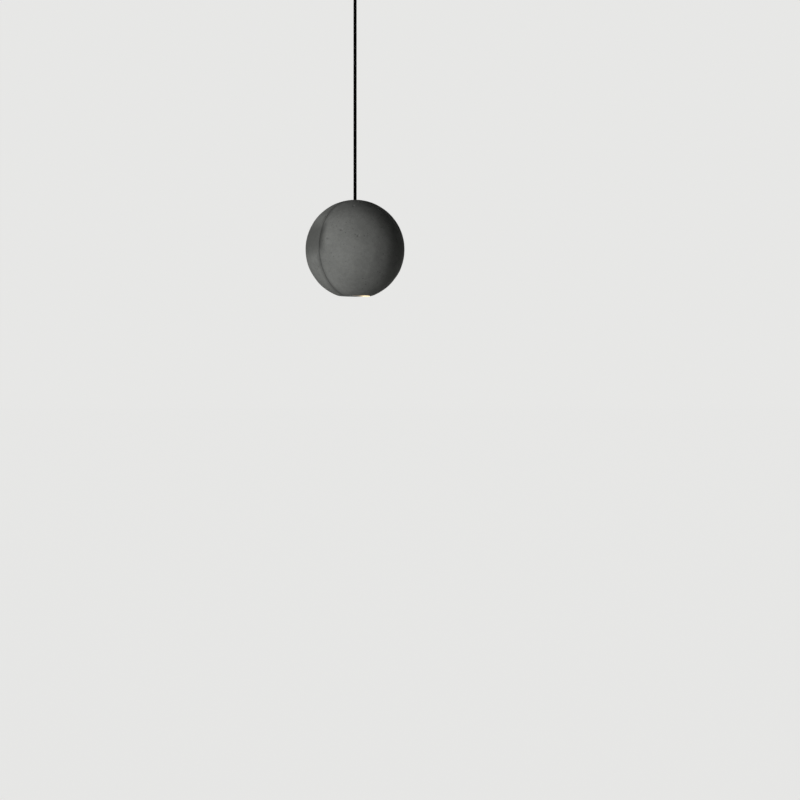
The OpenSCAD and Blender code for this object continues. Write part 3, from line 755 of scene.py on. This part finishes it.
def cast_half(seed, has_window):
    """Closed half ball on the +X side: the cast face, the rounded arris round its edge and the seam face."""
    skin, pore = cast_skin(half_ball_grid(half_cells, seam_half + arris_w), seed, has_window)
    edge = np.concatenate([skin[0, :-1], skin[:-1, -1], skin[-1, :0:-1], skin[:0:-1, 0], skin[:1, 0]])
    turn = np.arctan2(edge[:, 2], edge[:, 1])
    share = np.radians(np.linspace(0, 90, arris_rows))[1:, None]
    edge_r = np.sqrt(ball_r ** 2 - (seam_half + arris_w) ** 2)
    radius = arris_r + (edge_r - arris_r) * np.cos(share)
    x = seam_half + arris_w * (1 - np.sin(share))
    arris = level_flat(np.stack(np.broadcast_arrays(x, radius * np.cos(turn), radius * np.sin(turn)), -1))
    middle = np.broadcast_to([seam_half, 0, 0], edge.shape)
    rim = np.concatenate([edge[None], arris, middle[None]])
    return [skin, rim], np.concatenate([pore.ravel(), np.zeros(rim[..., 0].size)])


def half_moon(radius, edge, count=48):
    """Closed outline of a disc cut off along X = edge: its arc, and then the straight edge back."""
    corner = np.arccos(edge / radius)
    turn = np.linspace(-corner, corner, count)
    half = radius * np.sin(corner)
    straight = np.linspace(half, -half, count // 2)[1:]
    x = np.concatenate([radius * np.cos(turn), np.full(straight.size, edge)])
    y = np.concatenate([radius * np.sin(turn), straight])
    return np.stack([x, y], -1)


def half_moon_stack(levels):
    """Closed solid from half moons (radius, edge, height) one on another, with a point in the middle of
    its ends."""
    rows = [np.insert(half_moon(radius, edge), 2, height, axis=1) for radius, edge, height in levels]
    ends = [np.broadcast_to(rows[end].mean(0), rows[end].shape) for end in (0, -1)]
    return np.stack([ends[0], *rows, ends[1]])


def cut_out(piece, cutters):
    """Takes the cutters' solids out of a piece, for good."""
    for cutter in cutters:
        cut = piece.modifiers.new(cutter.name, "BOOLEAN")
        cut.operation = "DIFFERENCE"
        cut.solver = "MANIFOLD"
        cut.object = cutter
    solid = piece.evaluated_get(bpy.context.evaluated_depsgraph_get())
    whole = piece.data
    piece.data = bpy.data.meshes.new_from_object(solid)
    piece.modifiers.clear()
    bpy.data.meshes.remove(whole)
    piece.data.set_sharp_from_angle(angle=sharp_angle)


inner_r = ball_r - wall
spot_depth = 0.5 * mm
crown_seat = inner_r + spot_depth
spot_r = 13 * mm
tube_hole = 5.2 * mm
pin_hole = 2.05 * mm
pin_depth = 8.5 * mm
pin_circle = ball_r - wall / 2
lip_h = 4 * mm
ledge_z = -flat_depth + lip_h
window_rise = 15 * mm
beyond = 2 * mm
socket_z = cap_seat - ball_z
crown_profile = np.array([
    [0, 0], [spot_r, 0], [spot_r, crown_seat], [tube_hole, crown_seat], [tube_hole, socket_z],
    [socket_r, socket_z], [socket_r, ball_r + beyond], [0, ball_r + beyond],
])
cavity = lathe(arc((0, 0), inner_r, -90, 90, count=48), turns=96)
crown_hole = lathe(crown_profile, turns=96)
window = half_moon_stack([
    (window_r, window_edge, -flat_depth - beyond), (window_r, window_edge, ledge_z),
    (window_r + ledge_w, window_edge, ledge_z), (window_r + ledge_w, window_edge, ledge_z + window_rise),
])
pin_profile = np.array([[0, -beyond], [pin_hole, -beyond], [pin_hole, pin_depth], [0, pin_depth]])
x, y, z = np.moveaxis(lathe(pin_profile, turns=32), -1, 0)
pin_holes = [np.stack([z, x + pin_circle * np.cos(turn), y + pin_circle * np.sin(turn)], -1)
             for turn in np.radians([45, 135, 225, 315])]

# Each look: dark and light tones, then the painted shadow's strength and the distances from the seam where it
# starts and ends fading. The plain half is darker mostly through its wider painted shadow.
concrete_looks = {"concrete": ((0.115, 0.118, 0.112), (0.205, 0.209, 0.199), 0.9, 0, 12 * mm),
                  "concrete_dark": ((0.114, 0.117, 0.111), (0.205, 0.209, 0.199), 0.54, 30 * mm, 58 * mm)}
raise_to = np.array([0, 0, ball_z])
for name, slot, node, seed, side in (("window_shell", "concrete", "window_half", 11, 1),
                                     ("plain_shell", "concrete_dark", "plain_half", 23, -1)):
    place = np.array([side, side, 1])
    grids, pore = cast_half(seed, side > 0)
    finish = concrete(slot, *concrete_looks[slot])
    half = make_piece(name, [grid * place + raise_to for grid in grids], finish, None, [node],
                      marks={"pore": pore})
    cuts = [("cavity", [cavity]), ("crown_hole", [crown_hole]), ("pin_holes", pin_holes)]
    if side > 0:
        cuts.append(("window_hole", [window]))
    cutters = [make_piece(label, [grid * place + raise_to for grid in solids], finish, None, ())
               for label, solids in cuts]
    cut_out(half, cutters)
    for cutter in cutters:
        bpy.data.meshes.remove(cutter.data)
    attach(half, "ball")

# Sealing ring: a black rubber bead between the halves, set back from the arrises and open at the crown.
# It is an arc in the seam plane with a rounded outer face.
seal_low, seal_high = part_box("seam_seal")
seal_out = seal_high.y
seal_cut = ball_z - seal_low.z
seal_rows = 320
seal_face_rows = 9
seal_round = 0.6 * seam_half
least_sine = 1e-6
crown_gap = math.asin(socket_r / inner_r)
seal_turn = np.linspace(np.pi / 2 + crown_gap, np.pi * 2.5 - crown_gap, seal_rows)
seal_face = np.linspace(-np.pi / 2, np.pi / 2, seal_face_rows)
seal_reach = np.minimum(seal_out, seal_cut / np.maximum(-np.sin(seal_turn), least_sine))
seal_section_x = np.concatenate([[-seam_half], seam_half * np.sin(seal_face), [seam_half, -seam_half]])
seal_section_out = np.concatenate([[0], np.cos(seal_face), [0, 0]]) * seal_round
seal_is_outer = np.concatenate([[0], np.ones(seal_face_rows), [0, 0]])
seal_radius = inner_r + seal_is_outer * (seal_reach[:, None] - seal_round - inner_r) + seal_section_out
seal_points = np.stack(np.broadcast_arrays(seal_section_x, seal_radius * np.cos(seal_turn)[:, None],
                                           seal_radius * np.sin(seal_turn)[:, None] + ball_z), -1)
seal_ends = [np.broadcast_to(seal_points[end].mean(0), seal_points[end].shape) for end in (0, -1)]
seal_grid = np.concatenate([seal_ends[0][None], seal_points, seal_ends[1][None]])
make_piece("seam_bead", [seal_grid], rubber, "ball", ["seam_seal"])

# Lens: a half moon of frosted acrylic, lit from behind, that stands a little out of the flat with a
# rounded edge and a low crown. Its flange rests on the ledge in the window, under the light well. Its
# glow is painted bright on its +Y side only, with painted shade toward -Y.
plug_r = window_r - lens_gap
plug_edge = window_edge + lens_gap
flange_r = window_r + ledge_w - lens_gap
lens_face = lens_low.z - ball_z
lens_edge = 0.35 * mm
lens_bulge = 0.7 * mm
edge_rows = 6
crown_rows = 5
crown_span = (0.2, 0.9)
# Painted lit side of the lens: its glow fades in over this span of Y.
painted_lit_span = (-10 * mm, 1 * mm)
frost_depth = 0.015 * mm
lens_levels = [(flange_r, plug_edge, lens_high.z - ball_z), (flange_r, plug_edge, ledge_z),
               (plug_r, plug_edge, ledge_z)]
for turn in np.radians(np.linspace(0, 90, edge_rows)):
    inset = lens_edge * (1 - math.cos(turn))
    lens_levels.append((plug_r - inset, plug_edge + inset, lens_face + lens_edge * (1 - math.sin(turn))))
crown_w = (plug_r - plug_edge) / 2
for share in np.linspace(*crown_span, crown_rows):
    inset = lens_edge + share * (crown_w - lens_edge)
    lens_levels.append((plug_r - inset, plug_edge + inset, lens_face - lens_bulge * share * (2 - share)))
frosted_lens, glow, glow_shader = new_finish("frosted_lens")
frost = grain_marks(glow, patch=160, grain=2600)
lens_place = add_node(glow, "SeparateXYZ", {0: add_node(glow, "TexCoord").outputs["Object"]}).outputs
# Painted light and shade: the glow is bright toward +Y only, and toward -Y both the glow and the frosted tone
# are painted darker.
painted_lit_share = carry(glow, lens_place["Y"], *painted_lit_span, 0, 1, "SMOOTHSTEP")
glow_and_painted_shade_tone = mix_tones(glow, frost["Patch"], (1.0, 0.76, 0.44, 1), (1.0, 0.82, 0.52, 1))
glow_and_painted_shade_tone = mix_tones(glow, painted_lit_share, (0.04, 0.026, 0.014, 1), glow_and_painted_shade_tone)
glow.links.new(glow_and_painted_shade_tone, glow_shader.inputs["Emission Color"])
glow_shader.inputs["Emission Strength"].default_value = 1.1
frost_and_painted_shade_tone = mix_tones(glow, frost["Grain"], (0.40, 0.38, 0.33, 1), (0.48, 0.45, 0.40, 1))
frost_and_painted_shade_tone = mix_tones(glow, painted_lit_share, (0.20, 0.19, 0.17, 1), frost_and_painted_shade_tone)
glow.links.new(frost_and_painted_shade_tone, glow_shader.inputs["Base Color"])
glow_shader.inputs["Specular IOR Level"].default_value = 0.05
glow.links.new(carry(glow, frost["Grain"], 0, 1, 0.45, 0.62), glow_shader.inputs["Roughness"])
relief(glow, glow_shader, frost["Grain"], frost_depth)
lens_grid = half_moon_stack(lens_levels) + [0, 0, ball_z]
make_piece("frosted_window", [lens_grid], frosted_lens, "ball", ["lens"])
